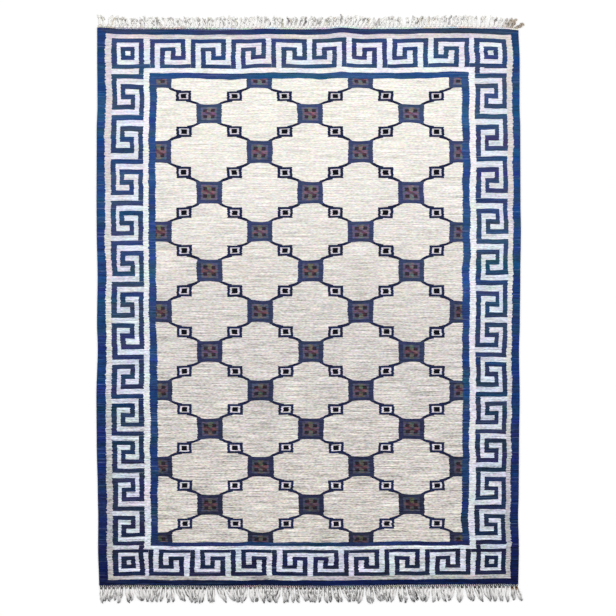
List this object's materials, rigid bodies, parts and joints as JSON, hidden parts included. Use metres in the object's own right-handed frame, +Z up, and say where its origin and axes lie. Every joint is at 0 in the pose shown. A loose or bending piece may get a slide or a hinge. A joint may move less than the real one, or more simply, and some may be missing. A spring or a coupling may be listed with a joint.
{
  "type": "rug",
  "caption": "Flat rectangular woven rug with a key-pattern border, a trellis field and a knotted fringe at both ends.",
  "frame": {"origin": "on the floor, under the middle of the box around the rug and its fringes", "axes": "+Z up, away from the floor; +Y along the rug towards the end that is at the top of the picture; +X across, to the right in the picture"},
  "size_m": [2.7798, 3.812, 0.009],
  "materials": {
    "cloth": "matt weft-faced wool, cream with a mid-blue pattern",
    "fringe": "matt undyed cotton yarn in knotted locks"
  },
  "bodies": {
    "root": {"rug": "cloth", "fringe_far": "fringe", "fringe_near": "fringe"}
  },
  "joints": []
}
